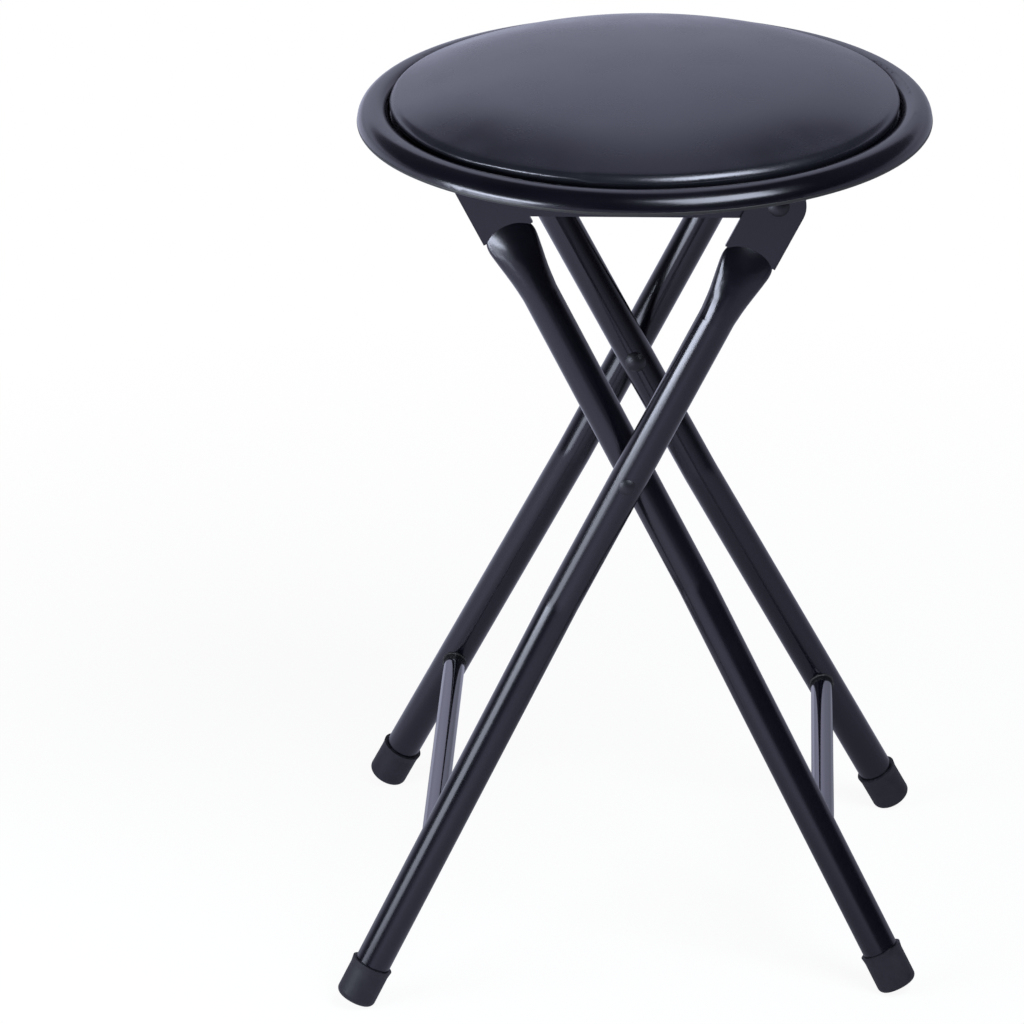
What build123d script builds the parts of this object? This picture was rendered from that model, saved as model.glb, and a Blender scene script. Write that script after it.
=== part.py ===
from build123d import *
import math
import os

# Folding stool with a round padded seat on two crossed frames of bent steel tube.
# Millimetres, +Z up, X across the spread of the legs, Y along the hinge axes, front at -Y.
# The origin lies on the floor below the middle of the whole stool.

# Stance of the crossed frames, measured along the legs in side view
CROSSING_HEIGHT = 286.0
LEG_LEAN_ANGLE = 63.0
PIVOT_REACH = 168.6
BEND_REACH = 76.9
BAR_REACH = 226.9

# Seat size, which the width of the frames follows
RIM_OD = 300.0
SEAT_OFFSET = 6.2

# Leg tube
TUBE_OD = 19.05
TUBE_WALL = 1.2
BEND_RADIUS = 45.0

# Outer legs in from the rim, inner legs in from the outer ones, and the splay of both below the bend
OUTER_TOP_INSET = 48.3
OUTER_WIDENING = 4.2
OUTER_SPLAY_ANGLE = 8.2
INNER_TOP_INSET = 33.2
INNER_WIDENING = 10.4
INNER_SPLAY_ANGLE = 9.0

# Flattened leg ends
TAB_WIDTH = 28.4
TAB_THICKNESS = 2.4
TAB_LENGTH = 31.4

# Pressed shoulder in even steps from its mouth in the tab to the round tube, the second at the end of the tab:
# the width as a share of the way from tube to tab, and the thickness as a share of the way from tab to tube
SHOULDER_PITCH = 5.5
SHOULDER_STEPS = [
    (-0.3, -0.07),
    (0.68, 0.26),
    (0.86, 0.49),
    (0.7, 0.66),
    (0.51, 0.78),
    (0.32, 0.87),
    (0.16, 0.94),
    (0.05, 0.985),
    (0.0, 1.0),
]

# Cross bars
BAR_OD = 12.0
BAR_WALL = 1.2
WELD_LEG = 2.4

# Foot caps
CAP_WALL = 1.15
CAP_LENGTH = 22.0
CAP_BOTTOM = 4.0
CAP_EDGE = 3.5
CAP_COLLAR_LIP = 0.5
CAP_COLLAR_LENGTH = 3.4
CAP_FIT = 0.02
FOOT_FLAT_DEPTH = 0.5

# Rivets, washers and spacers
RIVET_OD = 6.0
RIVET_HEAD_OD = 11.2
RIVET_HEAD_HEIGHT = 2.6
PEEN_OD = 8.6
PEEN_HEIGHT = 1.5
PIVOT_CLEARANCE = 0.05
WASHER_OD = 14.0
WASHER_THICKNESS = 0.8
SPACER_OD = 12.0
FACE_GAP = 0.1
MOVING_GAP = 0.3

# Rod at the top of the inner frame and the hooks that rest on it
ROD_OD = 8.0
ROD_HEAD_OD = 11.5
ROD_HEAD_HEIGHT = 2.0
CLIP_SHEET = 2.0
CLIP_WIDTH = 16.0
CLIP_FOOT = 18.0
CLIP_RAMP = 6.0
CLIP_LIP = 4.0
CLIP_BEND = 1.5
CLIP_SIDE_GAP = 4.0

# Seat pan, whose rim rises above its floor and drops below it
RIM_WIDTH = 16.6
RIM_WALL_LEAN = 3.0
RIM_ROUND = 8.6
RIM_RIDGE_ROUND = 6.3
RIM_WELL_ROUND = 1.6
RIM_RISE = 6.2
RIM_DROP = 4.5
HEM_OD = 2.5
PAN_SHEET = 1.2
TAB_HEADROOM = 1.3

# Seat brackets
BRACKET_SHEET = 2.2
BRACKET_DROP = 7.5
BRACKET_WEB = 20.0
BRACKET_END = 12.5
BRACKET_END_SLANT = 3.5
BRACKET_BEND = 2.0

# Screws into the board
SCREW_OD = 4.0
SCREW_HEAD_OD = 8.4
SCREW_HEAD_HEIGHT = 2.4
SCREW_COVER = 2.0
SCREW_CLEARANCE = 0.2
SCREW_END_INSET = 23.0
SCREW_CROSS_LENGTH = 4.6
SCREW_CROSS_WIDTH = 1.1
SCREW_CROSS_DEPTH = 1.3

# Cushion, whose crown and fullest side are heights above the floor of the pan
BOARD_THICKNESS = 6.0
BOARD_EDGE_PAD = 12.0
CUSHION_SIDE_GAP = 0.6
CUSHION_CROWN = 32.4
CUSHION_FULLEST = 3.1
CUSHION_SHOULDER = 10.0
CUSHION_TUCK = 1.8
CUSHION_GAP = 0.2
COVER_THICKNESS = 1.0

# The end arcs of an oval stay just under a half circle, and a round just under the room for it
END_ARC_SHARE = 0.95
ROUND_SHARE = 0.98

TUBE_R = TUBE_OD / 2
LEAN_COS = math.cos(math.radians(LEG_LEAN_ANGLE))
LEAN_SIN = math.sin(math.radians(LEG_LEAN_ANGLE))
OUTER_HALF_TOP = RIM_OD / 2 - OUTER_TOP_INSET
OUTER_HALF_BEND = OUTER_HALF_TOP + OUTER_WIDENING
INNER_HALF_TOP = OUTER_HALF_TOP - INNER_TOP_INSET
INNER_HALF_BEND = INNER_HALF_TOP + INNER_WIDENING
PIVOT_X = PIVOT_REACH * LEAN_COS
PIVOT_Z = CROSSING_HEIGHT + PIVOT_REACH * LEAN_SIN
PIN_BORE = RIVET_OD + 2 * PIVOT_CLEARANCE
SCREW_BORE = SCREW_OD + 2 * SCREW_CLEARANCE
SCREW_BITE = BOARD_THICKNESS - SCREW_COVER
CAP_OD = TUBE_OD + 2 * (CAP_FIT + CAP_WALL)
TAB_END = TAB_LENGTH - PIVOT_REACH
PAN_Z = PIVOT_Z + TAB_WIDTH / 2 + TAB_HEADROOM
PAN_TOP = PAN_Z + PAN_SHEET
WELL_R = RIM_OD / 2 - RIM_WIDTH
CUSHION_R = WELL_R - CUSHION_SIDE_GAP
BOARD_R = CUSHION_R - BOARD_EDGE_PAD
BRACKET_HALF = PIVOT_X - SEAT_OFFSET + BRACKET_END
BRACKET_FACE = OUTER_HALF_TOP - TAB_THICKNESS / 2 - WASHER_THICKNESS - 2 * FACE_GAP


class Frame:
    """One pair of legs, drawn in the plane of its lean: x runs down the leg and y along the hinges."""

    def __init__(self, side, half_top, half_bend, splay):
        self.half_top = half_top
        self.half_bend = half_bend
        self.slope_above = (half_bend - half_top) / (BEND_REACH - TAB_END)
        self.slope_below = math.tan(math.radians(splay))
        self.down = Vector(math.cos(math.radians(splay)), -math.sin(math.radians(splay)), 0)
        self.plane = Plane(
            origin=(0, 0, CROSSING_HEIGHT),
            x_dir=(side * LEAN_COS, 0, -LEAN_SIN),
            z_dir=(LEAN_SIN, 0, side * LEAN_COS),
        )
        fall = self.down.X * LEAN_SIN
        tilt = math.sqrt(1 - fall**2)
        end_height = CAP_EDGE * (1 - fall) + (CAP_OD / 2 - CAP_EDGE) * tilt - FOOT_FLAT_DEPTH
        self.cap_end = self.point((CROSSING_HEIGHT - end_height) / LEAN_SIN)
        self.tube_end = self.cap_end - self.down * CAP_BOTTOM

    def half_at(self, reach):
        """Half width of the frame at a distance down the leg from the crossing."""
        if reach > BEND_REACH:
            return self.half_bend + (reach - BEND_REACH) * self.slope_below
        return self.half_top + max(0, reach - TAB_END) * self.slope_above

    def point(self, reach):
        """Point on the axis of the front leg."""
        return Vector(reach, -self.half_at(reach), 0)

    def placed(self, shape):
        """Shape moved from the plane of the frame into the stool."""
        return self.plane.location * shape


OUTER = Frame(-1, OUTER_HALF_TOP, OUTER_HALF_BEND, OUTER_SPLAY_ANGLE)
INNER = Frame(1, INNER_HALF_TOP, INNER_HALF_BEND, INNER_SPLAY_ANGLE)


def mirrored(shape):
    """The same piece at the back of the stool."""
    return mirror(shape, about=Plane.XZ)


def bar_along_y(x, z, start, end, diameter):
    """Round bar along the hinge direction between two places on Y."""
    return Plane(origin=(x, start, z), z_dir=(0, end - start, 0)) * Cylinder(
        diameter / 2, abs(end - start), align=(Align.CENTER, Align.CENTER, Align.MIN)
    )


def domed_head(x, z, face, outward, diameter, height):
    """Rivet head with its flat side at a place on Y and its dome turned outward."""
    radius = (diameter**2 / 4 + height**2) / (2 * height)
    ball = Pos(0, 0, height - radius) * Sphere(radius)
    disc = Cylinder(diameter / 2, height, align=(Align.CENTER, Align.CENTER, Align.MIN))
    return Plane(origin=(x, face, z), z_dir=(0, outward, 0)) * (ball & disc)


def oval(plane, half_width, half_thickness):
    """Closed outline of four arcs close to an ellipse, wide along the plane's x and thin along its y."""
    ratio = (END_ARC_SHARE * half_thickness / half_width) ** 2
    x = half_width * max(math.sqrt(0.5), 1 - 2 * ratio / (1 + ratio))
    y = half_thickness * math.sqrt(1 - (x / half_width) ** 2)
    arcs = [
        ThreePointArc((-x, y), (0, half_thickness), (x, y)),
        ThreePointArc((x, y), (half_width, 0), (x, -y)),
        ThreePointArc((x, -y), (0, -half_thickness), (-x, -y)),
        ThreePointArc((-x, -y), (-half_width, 0), (-x, y)),
    ]
    return plane * make_face(arcs)


def pressed_shoulder(frame, inset):
    """Swelling from the tab to the round tube, drawn in by an inset and without its mouth for the hollow."""
    along = frame.point(BEND_REACH) - frame.point(TAB_END)
    sections = []
    for step, (widening, swelling) in enumerate(SHOULDER_STEPS):
        if inset > 0 and step == 0:
            continue
        width = TUBE_OD + widening * (TAB_WIDTH - TUBE_OD)
        thickness = TAB_THICKNESS + swelling * (TUBE_OD - TAB_THICKNESS)
        middle = frame.point(TAB_END + (step - 1) * SHOULDER_PITCH)
        plane = Plane(origin=middle, x_dir=(0, 0, 1), z_dir=along)
        sections.append(oval(plane, width / 2 - inset, thickness / 2 - inset))
    return loft(sections)


def leg_axis(frame):
    """Axis of the round tube from the shoulder through the bend to the foot."""
    top = frame.point(TAB_END + (len(SHOULDER_STEPS) - 2) * SHOULDER_PITCH)
    return FilletPolyline(top, frame.point(BEND_REACH), frame.tube_end, radius=BEND_RADIUS)


def round_tube(frame, radius):
    """Solid rod of a radius along the leg's axis."""
    axis = leg_axis(frame)
    return sweep(Plane(origin=axis @ 0, z_dir=axis % 0) * Circle(radius), path=axis)


def leg(frame, pivot_bore, crossing_bore):
    """Front leg: bent tube, pressed shoulder and round-ended tab with its hole."""
    pivot = frame.point(-PIVOT_REACH)
    tab_plane = Plane(origin=pivot, x_dir=(1, 0, 0), z_dir=(0, 1, 0))
    strip = Rectangle(TAB_LENGTH, TAB_WIDTH, align=(Align.MIN, Align.CENTER))
    tab = extrude(tab_plane * (strip + Circle(TAB_WIDTH / 2)), TAB_THICKNESS / 2, both=True)
    body = round_tube(frame, TUBE_R) + pressed_shoulder(frame, 0) + tab
    body -= round_tube(frame, TUBE_R - TUBE_WALL)
    body -= pressed_shoulder(frame, TUBE_WALL)
    body -= bar_along_y(pivot.X, 0, pivot.Y - TUBE_OD, pivot.Y + TUBE_OD, pivot_bore)
    crossing = frame.point(0)
    body -= bar_along_y(0, 0, crossing.Y - TUBE_OD, crossing.Y + TUBE_OD, crossing_bore)
    return frame.placed(body)


def cross_bar(frame):
    """Thin tube between the legs with a weld bead at each end, cut to sit on the leg tubes."""
    half = frame.half_at(BAR_REACH)
    bar = bar_along_y(BAR_REACH, 0, -half, half, BAR_OD)
    toe = half - TUBE_R - WELD_LEG
    bead = Plane(origin=(BAR_REACH, -toe, 0), z_dir=(0, -1, 0)) * Cone(
        BAR_OD / 2, BAR_OD / 2 + 2 * WELD_LEG, 2 * WELD_LEG, align=(Align.CENTER, Align.CENTER, Align.MIN)
    )
    bar += bead + mirrored(bead)
    bar -= bar_along_y(BAR_REACH, 0, -half, half, BAR_OD - 2 * BAR_WALL)
    tube = round_tube(frame, TUBE_R)
    bar -= tube + mirrored(tube)
    return frame.placed(bar)


def foot_cap(frame):
    """Rubber cap pushed over the tube end, with a flared collar, a rounded edge and a flat on the floor."""
    up = Plane(origin=frame.cap_end, z_dir=frame.down * -1)
    body = Cylinder(CAP_OD / 2, CAP_LENGTH, align=(Align.CENTER, Align.CENTER, Align.MIN))
    body = fillet(body.edges().group_by(Axis.Z)[0], CAP_EDGE)
    collar = Pos(0, 0, CAP_LENGTH - CAP_COLLAR_LENGTH) * Cone(
        CAP_OD / 2,
        CAP_OD / 2 + CAP_COLLAR_LIP,
        CAP_COLLAR_LENGTH,
        align=(Align.CENTER, Align.CENTER, Align.MIN),
    )
    body += collar
    body -= Pos(0, 0, CAP_BOTTOM) * Cylinder(
        TUBE_R + CAP_FIT, CAP_LENGTH, align=(Align.CENTER, Align.CENTER, Align.MIN)
    )
    cap = frame.placed(up * body)
    block = 4 * CAP_LENGTH
    floor = Box(block, block, block, align=(Align.CENTER, Align.CENTER, Align.MAX))
    return cap - Pos(cap.center().X, cap.center().Y, 0) * floor


def seat_rivet():
    """Rivet through the outer tab and the bracket flange, headed outside and peened inside."""
    outside = -OUTER_HALF_TOP - TAB_THICKNESS / 2
    inside = -BRACKET_FACE + BRACKET_SHEET + FACE_GAP
    shank = bar_along_y(PIVOT_X, PIVOT_Z, outside, inside, RIVET_OD)
    head = domed_head(PIVOT_X, PIVOT_Z, outside, -1, RIVET_HEAD_OD, RIVET_HEAD_HEIGHT)
    peen = domed_head(PIVOT_X, PIVOT_Z, inside, 1, PEEN_OD, PEEN_HEIGHT)
    return shank + head + peen


def seat_washer():
    """Thin washer between the outer tab and the bracket flange."""
    start = -BRACKET_FACE - FACE_GAP - WASHER_THICKNESS
    disc = bar_along_y(PIVOT_X, PIVOT_Z, start, start + WASHER_THICKNESS, WASHER_OD)
    return disc - bar_along_y(PIVOT_X, PIVOT_Z, start, start + WASHER_THICKNESS, PIN_BORE)


def tube_rise(frame, diameter):
    """How far a tube that isn't quite square to the hinge rises under a flat face of a diameter."""
    return frame.slope_above * diameter / 2


def scissor_rivet():
    """Long rivet through both legs where they cross, headed inside and peened outside."""
    outside = -OUTER.half_at(0) - TUBE_R - tube_rise(OUTER, PEEN_OD)
    inside = -INNER.half_at(0) + TUBE_R + tube_rise(INNER, RIVET_HEAD_OD) + MOVING_GAP
    shank = bar_along_y(0, CROSSING_HEIGHT, outside, inside, RIVET_OD)
    peen = domed_head(0, CROSSING_HEIGHT, outside, -1, PEEN_OD, PEEN_HEIGHT)
    head = domed_head(0, CROSSING_HEIGHT, inside, 1, RIVET_HEAD_OD, RIVET_HEAD_HEIGHT)
    return shank + peen + head


def scissor_spacer():
    """Sleeve on the long rivet that holds the two legs apart."""
    start = -OUTER.half_at(0) + TUBE_R + tube_rise(OUTER, SPACER_OD)
    end = -INNER.half_at(0) - TUBE_R - tube_rise(INNER, SPACER_OD) - MOVING_GAP
    sleeve = bar_along_y(0, CROSSING_HEIGHT, start, end, SPACER_OD)
    return sleeve - bar_along_y(0, CROSSING_HEIGHT, start, end, PIN_BORE)


def top_rod():
    """Rod between the tabs of the inner frame, peened over outside them."""
    end = INNER_HALF_TOP + TAB_THICKNESS / 2
    rod = bar_along_y(-PIVOT_X, PIVOT_Z, -end, end, ROD_OD)
    head = domed_head(-PIVOT_X, PIVOT_Z, -end, -1, ROD_HEAD_OD, ROD_HEAD_HEIGHT)
    return rod + head + mirrored(head)


def at_seat(shape):
    """Piece drawn about the middle of the seat, moved to its place."""
    return Pos(SEAT_OFFSET, 0, 0) * shape


def screw_places():
    """Screws along the front bracket, from the middle of the seat."""
    y = -BRACKET_FACE + BRACKET_SHEET + (BRACKET_WEB - BRACKET_SHEET) / 2
    return [(step * (BRACKET_HALF - SCREW_END_INSET), y) for step in (-1, 0, 1)]


def clip_y():
    """Middle of the front hook on Y, inside the tab of the inner frame."""
    return -INNER_HALF_TOP + TAB_THICKNESS / 2 + CLIP_SIDE_GAP + CLIP_WIDTH / 2


def clip_screw_x():
    """Middle of the hook's foot on X, from the middle of the seat."""
    saddle = ROD_OD / 2 + MOVING_GAP
    return -PIVOT_X - SEAT_OFFSET + saddle + CLIP_RAMP + CLIP_FOOT / 2


def drilled(shape, places, diameter, bottom, depth):
    """Shape with upright holes at the places."""
    for x, y in places:
        hole = Cylinder(diameter / 2, depth, align=(Align.CENTER, Align.CENTER, Align.MIN))
        shape -= Pos(x, y, bottom) * hole
    return shape


def all_screw_places():
    """Every screw under the seat, front and back."""
    front = screw_places() + [(clip_screw_x(), clip_y())]
    return front + [(x, -y) for x, y in front]


def seat_pan():
    """Pressed pan: flat floor, low well wall, domed rim and rolled hem."""
    middle = PAN_SHEET / 2
    top = PAN_Z + RIM_RISE - middle
    ridge = WELL_R + RIM_WALL_LEAN
    outer = RIM_OD / 2 - middle
    hem = HEM_OD / 2
    bottom = PAN_Z - RIM_DROP
    wall_turn = math.atan2(top - PAN_Z - middle, RIM_WALL_LEAN)
    ridge_run = RIM_RIDGE_ROUND * math.tan(wall_turn / 2)
    room = min(outer - ridge - ridge_run, top - bottom - hem)
    line = FilletPolyline(
        (0, PAN_Z + middle),
        (WELL_R, PAN_Z + middle),
        (ridge, top),
        (outer, top),
        (outer, bottom + hem),
        radius=[RIM_WELL_ROUND, RIM_RIDGE_ROUND, min(RIM_ROUND, ROUND_SHARE * room)],
    )
    section = trace(line, PAN_SHEET) + Pos(RIM_OD / 2 - hem, bottom + hem) * Circle(hem)
    pan = revolve(Plane.XZ * section, Axis.Z)
    return at_seat(drilled(pan, all_screw_places(), SCREW_BORE, PAN_Z, PAN_SHEET))


def seat_bracket():
    """Folded angle: a flange for the pivot and a web under the pan."""
    low = PIVOT_Z - BRACKET_DROP
    top_half = BRACKET_HALF + BRACKET_END_SLANT
    outline = Polygon(
        (-BRACKET_HALF, low),
        (BRACKET_HALF, low),
        (top_half, PAN_Z),
        (-top_half, PAN_Z),
        align=None,
    )
    face = Plane(origin=(0, -BRACKET_FACE, 0), x_dir=(1, 0, 0), z_dir=(0, -1, 0))
    flange = extrude(face * outline, -BRACKET_SHEET)
    web = Pos(0, -BRACKET_FACE, PAN_Z) * Box(
        2 * top_half, BRACKET_WEB, BRACKET_SHEET, align=(Align.CENTER, Align.MIN, Align.MAX)
    )
    angle = flange + web
    fold = angle.edges().filter_by(Axis.X).group_by(Axis.Z)[-1].sort_by(Axis.Y)[0]
    angle = fillet(fold, BRACKET_BEND)
    angle = at_seat(drilled(angle, screw_places(), SCREW_BORE, PAN_Z - BRACKET_SHEET, BRACKET_SHEET))
    inside = -BRACKET_FACE + BRACKET_SHEET
    return angle - bar_along_y(PIVOT_X, PIVOT_Z, -BRACKET_FACE, inside, PIN_BORE)


def rod_clip():
    """Bent hook with its foot under the pan, a saddle over the rod and an outer wall beside it."""
    saddle = ROD_OD / 2 + MOVING_GAP
    middle = CLIP_SHEET / 2
    rod_x = -PIVOT_X - SEAT_OFFSET
    foot = rod_x + saddle + CLIP_RAMP
    line = FilletPolyline(
        (foot + CLIP_FOOT, PAN_Z - middle),
        (foot, PAN_Z - middle),
        (rod_x + saddle, PIVOT_Z + saddle + middle),
        (rod_x - saddle - middle, PIVOT_Z + saddle + middle),
        (rod_x - saddle - middle, PIVOT_Z - CLIP_LIP),
        radius=CLIP_BEND,
    )
    face = Plane(origin=(0, clip_y(), 0), x_dir=(1, 0, 0), z_dir=(0, -1, 0))
    clip = extrude(face * trace(line, CLIP_SHEET), CLIP_WIDTH / 2, both=True)
    hole = [(clip_screw_x(), clip_y())]
    return at_seat(drilled(clip, hole, SCREW_BORE, PAN_Z - CLIP_SHEET, CLIP_SHEET))


def screw(x, y, sheet):
    """Cross-headed screw through a sheet and the pan into the board."""
    seat = PAN_Z - sheet
    radius = (SCREW_HEAD_OD**2 / 4 + SCREW_HEAD_HEIGHT**2) / (2 * SCREW_HEAD_HEIGHT)
    ball = Pos(0, 0, radius - SCREW_HEAD_HEIGHT) * Sphere(radius)
    disc = Cylinder(SCREW_HEAD_OD / 2, SCREW_HEAD_HEIGHT, align=(Align.CENTER, Align.CENTER, Align.MAX))
    shank = Cylinder(
        SCREW_OD / 2, sheet + PAN_SHEET + SCREW_BITE, align=(Align.CENTER, Align.CENTER, Align.MIN)
    )
    cross = Box(SCREW_CROSS_LENGTH, SCREW_CROSS_WIDTH, SCREW_CROSS_DEPTH)
    cross += Box(SCREW_CROSS_WIDTH, SCREW_CROSS_LENGTH, SCREW_CROSS_DEPTH)
    head = (ball & disc) - Pos(0, 0, SCREW_CROSS_DEPTH / 2 - SCREW_HEAD_HEIGHT) * cross
    return at_seat(Pos(x, y, seat) * (head + shank))


def bracket_screws():
    """All screws through both brackets."""
    front = [screw(x, y, BRACKET_SHEET) for x, y in screw_places()]
    return Compound(front + [mirrored(each) for each in front])


def clip_screws():
    """One screw through the foot of each hook."""
    front = screw(clip_screw_x(), clip_y(), CLIP_SHEET)
    return Compound([front, mirrored(front)])


def on_arc(x, z, radius, turn):
    """Point on a circle about (x, z), turned from the top towards the outside."""
    return (x + radius * math.sin(turn), z + radius * math.cos(turn))


def cushion_form(inset):
    """Crowned round form with a rolled shoulder and drawn-in sides, reduced all round by an inset."""
    base = PAN_TOP + CUSHION_GAP
    roll_x = CUSHION_R - CUSHION_SHOULDER
    roll_z = PAN_TOP + CUSHION_FULLEST
    height = CUSHION_CROWN - CUSHION_FULLEST
    full_dome = (roll_x**2 + height**2 - CUSHION_SHOULDER**2) / (2 * (height - CUSHION_SHOULDER))
    dome_z = PAN_TOP + CUSHION_CROWN - full_dome
    dome = full_dome - inset
    roll = CUSHION_SHOULDER - inset
    turn = math.atan2(roll_x, roll_z - dome_z)
    crown = (0, dome_z + dome)
    meet = on_arc(0, dome_z, dome, turn)
    side = (roll_x + roll, roll_z)
    foot = (roll_x + roll - CUSHION_TUCK, base)
    half_turn = (turn + math.pi / 2) / 2
    outline = [
        ThreePointArc(crown, on_arc(0, dome_z, dome, turn / 2), meet),
        ThreePointArc(meet, on_arc(roll_x, roll_z, roll, half_turn), side),
        TangentArc(side, foot, tangent=(0, -1)),
        Line(foot, (0, base)),
        Line((0, base), crown),
    ]
    return revolve(Plane.XZ * make_face(outline), Axis.Z)


def cushion_board():
    """Round board on the floor of the pan, with pilot holes for the screws."""
    board = Cylinder(BOARD_R, BOARD_THICKNESS, align=(Align.CENTER, Align.CENTER, Align.MIN))
    return at_seat(drilled(Pos(0, 0, PAN_TOP) * board, all_screw_places(), SCREW_OD, PAN_TOP, SCREW_BITE))


def board_block():
    """Space that the board takes out of the pad."""
    return Pos(0, 0, PAN_TOP) * Cylinder(
        BOARD_R, BOARD_THICKNESS, align=(Align.CENTER, Align.CENTER, Align.MIN)
    )


def cushion_foam():
    """Pad over the board and round its edge."""
    return at_seat(cushion_form(COVER_THICKNESS) - board_block())


def cushion_cover():
    """Stretched skin over the pad."""
    return at_seat(cushion_form(0) - cushion_form(COVER_THICKNESS))


def front_and_back(name, shape):
    """A piece at the front and its mirror image at the back."""
    return {name + "_front": shape, name + "_back": mirrored(shape)}


pieces = {}
pieces |= front_and_back("outer_leg", leg(OUTER, RIVET_OD, RIVET_OD))
pieces |= front_and_back("inner_leg", leg(INNER, ROD_OD, PIN_BORE))
pieces["outer_cross_bar"] = cross_bar(OUTER)
pieces["inner_cross_bar"] = cross_bar(INNER)
pieces |= front_and_back("outer_foot_cap", foot_cap(OUTER))
pieces |= front_and_back("inner_foot_cap", foot_cap(INNER))
pieces |= front_and_back("seat_rivet", seat_rivet())
pieces |= front_and_back("seat_washer", seat_washer())
pieces |= front_and_back("scissor_rivet", scissor_rivet())
pieces |= front_and_back("scissor_spacer", scissor_spacer())
pieces["inner_top_rod"] = top_rod()
pieces["seat_pan"] = seat_pan()
pieces |= front_and_back("seat_bracket", seat_bracket())
pieces |= front_and_back("rod_clip", rod_clip())
pieces["bracket_screws"] = bracket_screws()
pieces["clip_screws"] = clip_screws()
pieces["cushion_board"] = cushion_board()
pieces["cushion_foam"] = cushion_foam()
pieces["cushion_cover"] = cushion_cover()

# The spread of the feet and the seat together set the middle of the stool
reach_left = pieces["outer_foot_cap_front"].bounding_box().min.X
reach_right = pieces["inner_foot_cap_front"].bounding_box().max.X
low = min(reach_left, SEAT_OFFSET - RIM_OD / 2)
high = max(reach_right, SEAT_OFFSET + RIM_OD / 2)
middle_x = (low + high) / 2

os.makedirs("parts", exist_ok=True)
for name, shape in pieces.items():
    export_step(Pos(-middle_x, 0, 0) * shape, f"parts/{name}.step")

print("crossing hinge at x", round(-middle_x, 4), "z", CROSSING_HEIGHT)
print("seat hinge at x", round(PIVOT_X - middle_x, 4), "z", round(PIVOT_Z, 4))
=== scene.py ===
"""Folding stool: finishes, padded seat, cross bars, welds, rim hem and stage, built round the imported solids."""

import math

import bpy
import numpy as np
from bpy.props import FloatProperty, FloatVectorProperty, IntProperty, PointerProperty
from mathutils import Matrix, Vector
from mathutils.bvhtree import BVHTree


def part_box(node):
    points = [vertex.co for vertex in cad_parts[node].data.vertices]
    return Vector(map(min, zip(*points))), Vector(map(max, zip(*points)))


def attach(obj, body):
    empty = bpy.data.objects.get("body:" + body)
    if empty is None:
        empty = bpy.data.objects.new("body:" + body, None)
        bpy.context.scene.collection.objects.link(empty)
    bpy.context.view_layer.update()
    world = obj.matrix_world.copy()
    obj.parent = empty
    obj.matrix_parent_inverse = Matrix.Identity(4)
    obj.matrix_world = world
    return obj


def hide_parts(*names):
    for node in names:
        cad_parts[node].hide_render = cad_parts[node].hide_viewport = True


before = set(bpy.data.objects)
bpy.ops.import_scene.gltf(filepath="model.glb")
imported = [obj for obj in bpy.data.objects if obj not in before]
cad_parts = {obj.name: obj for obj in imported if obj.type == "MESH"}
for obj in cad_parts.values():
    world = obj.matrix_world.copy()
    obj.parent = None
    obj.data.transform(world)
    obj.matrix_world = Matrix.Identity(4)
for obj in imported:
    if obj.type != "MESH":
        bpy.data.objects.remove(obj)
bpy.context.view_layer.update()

bl_info = {
    "name": "Folding Stool",
    "version": (1, 0, 0),
    "blender": (4, 5, 0),
    "location": "View3D > Sidebar > Stool",
    "description": "Finishes, cushion, cross bars, hem and stage of a folding stool",
    "category": "Object",
}

COVER_LOW, COVER_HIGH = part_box("cushion_cover")

BOTH_ENDS = ("front", "back")
COATED = [f"{leg}_{end}" for leg in ("outer_leg", "inner_leg") for end in BOTH_ENDS]
COATED += [f"{sheet}_{end}" for sheet in ("seat_bracket", "rod_clip") for end in BOTH_ENDS]
COATED += ["outer_cross_bar", "inner_cross_bar", "inner_top_rod", "seat_pan"]
FASTENERS = [
    f"{small}_{end}"
    for small in ("seat_rivet", "seat_washer", "scissor_rivet", "scissor_spacer")
    for end in BOTH_ENDS
]
FASTENERS += ["bracket_screws", "clip_screws"]
CAPS = [f"{foot}_foot_cap_{end}" for foot in ("outer", "inner") for end in BOTH_ENDS]
BOARDS = ["cushion_board"]

# Cushion: fades of the tight stretch, stages where the drop, the gathers and the held edge begin, and the
# shares of the underside's rings
TIGHT_FADE_IN, TIGHT_FADE_OUT = math.radians(9), math.radians(2.2)
DROP_START = 0.68
GATHER_START, GATHER_SPAN = 0.86, 0.5
HELD_STAGE = 2.2
UNDERSIDE_SHARES = (0.96, 0.6, 0.2)

# Rings along a cross bar, sides of a bead and how deep it sits in its seat, and steps and sides of the hem
BAR_RINGS = 24
BEAD_SIDES, BEAD_SEAT = 12, 0.35
HEM_STEPS, HEM_SIDES = 288, 16

# Mirrored surroundings, each as a place's low and high and the levels there; the floor's three are painted shade
# in its mirrored glow: dimmer to the right, dimmer far ahead, and a painted shadow under the stool
FLOOR_SHADE_RIGHT = (-0.1, 0.35, 1.0, 0.5)
FLOOR_SHADE_AHEAD = (-2.6, -0.9, 0.55, 1.0)
FLOOR_SHADOW_BELOW = (0.1, 0.5, 0.4, 1.0)
WALL_RIGHT = (0.0, 0.25, 1.0, 0.68)
WALL_BEHIND = (0.0, 0.6, 0.0, 1.0)

# Distance from the middle where the floor's shadow starts to fade, and where it has gone
SHADOW_FADE = (0.35, 0.9)

# Height and level of the mirrored backdrop, and how fast it narrows to the sides
WALL_LEVELS = (
    (0.0, 0.62), (0.2, 0.76), (0.35, 0.85), (0.5, 1.0), (0.7, 1.0), (0.82, 0.95), (0.89, 0.5), (0.95, 0.1),
)
WALL_NARROWING = 6.0

# Each light's turn from the front in degrees, reach, height, size and the height it faces
LIGHT_PLACES = {
    "strip_light": (-55, 0.85, 0.48, (0.6, 0.12), 0.35),
    "low_light": (-55, 0.85, 0.27, (0.4, 0.26), 0.27),
    "front_light": (38, 1.3, 1.85, (1.12, 1.0), 0.45),
}


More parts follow.
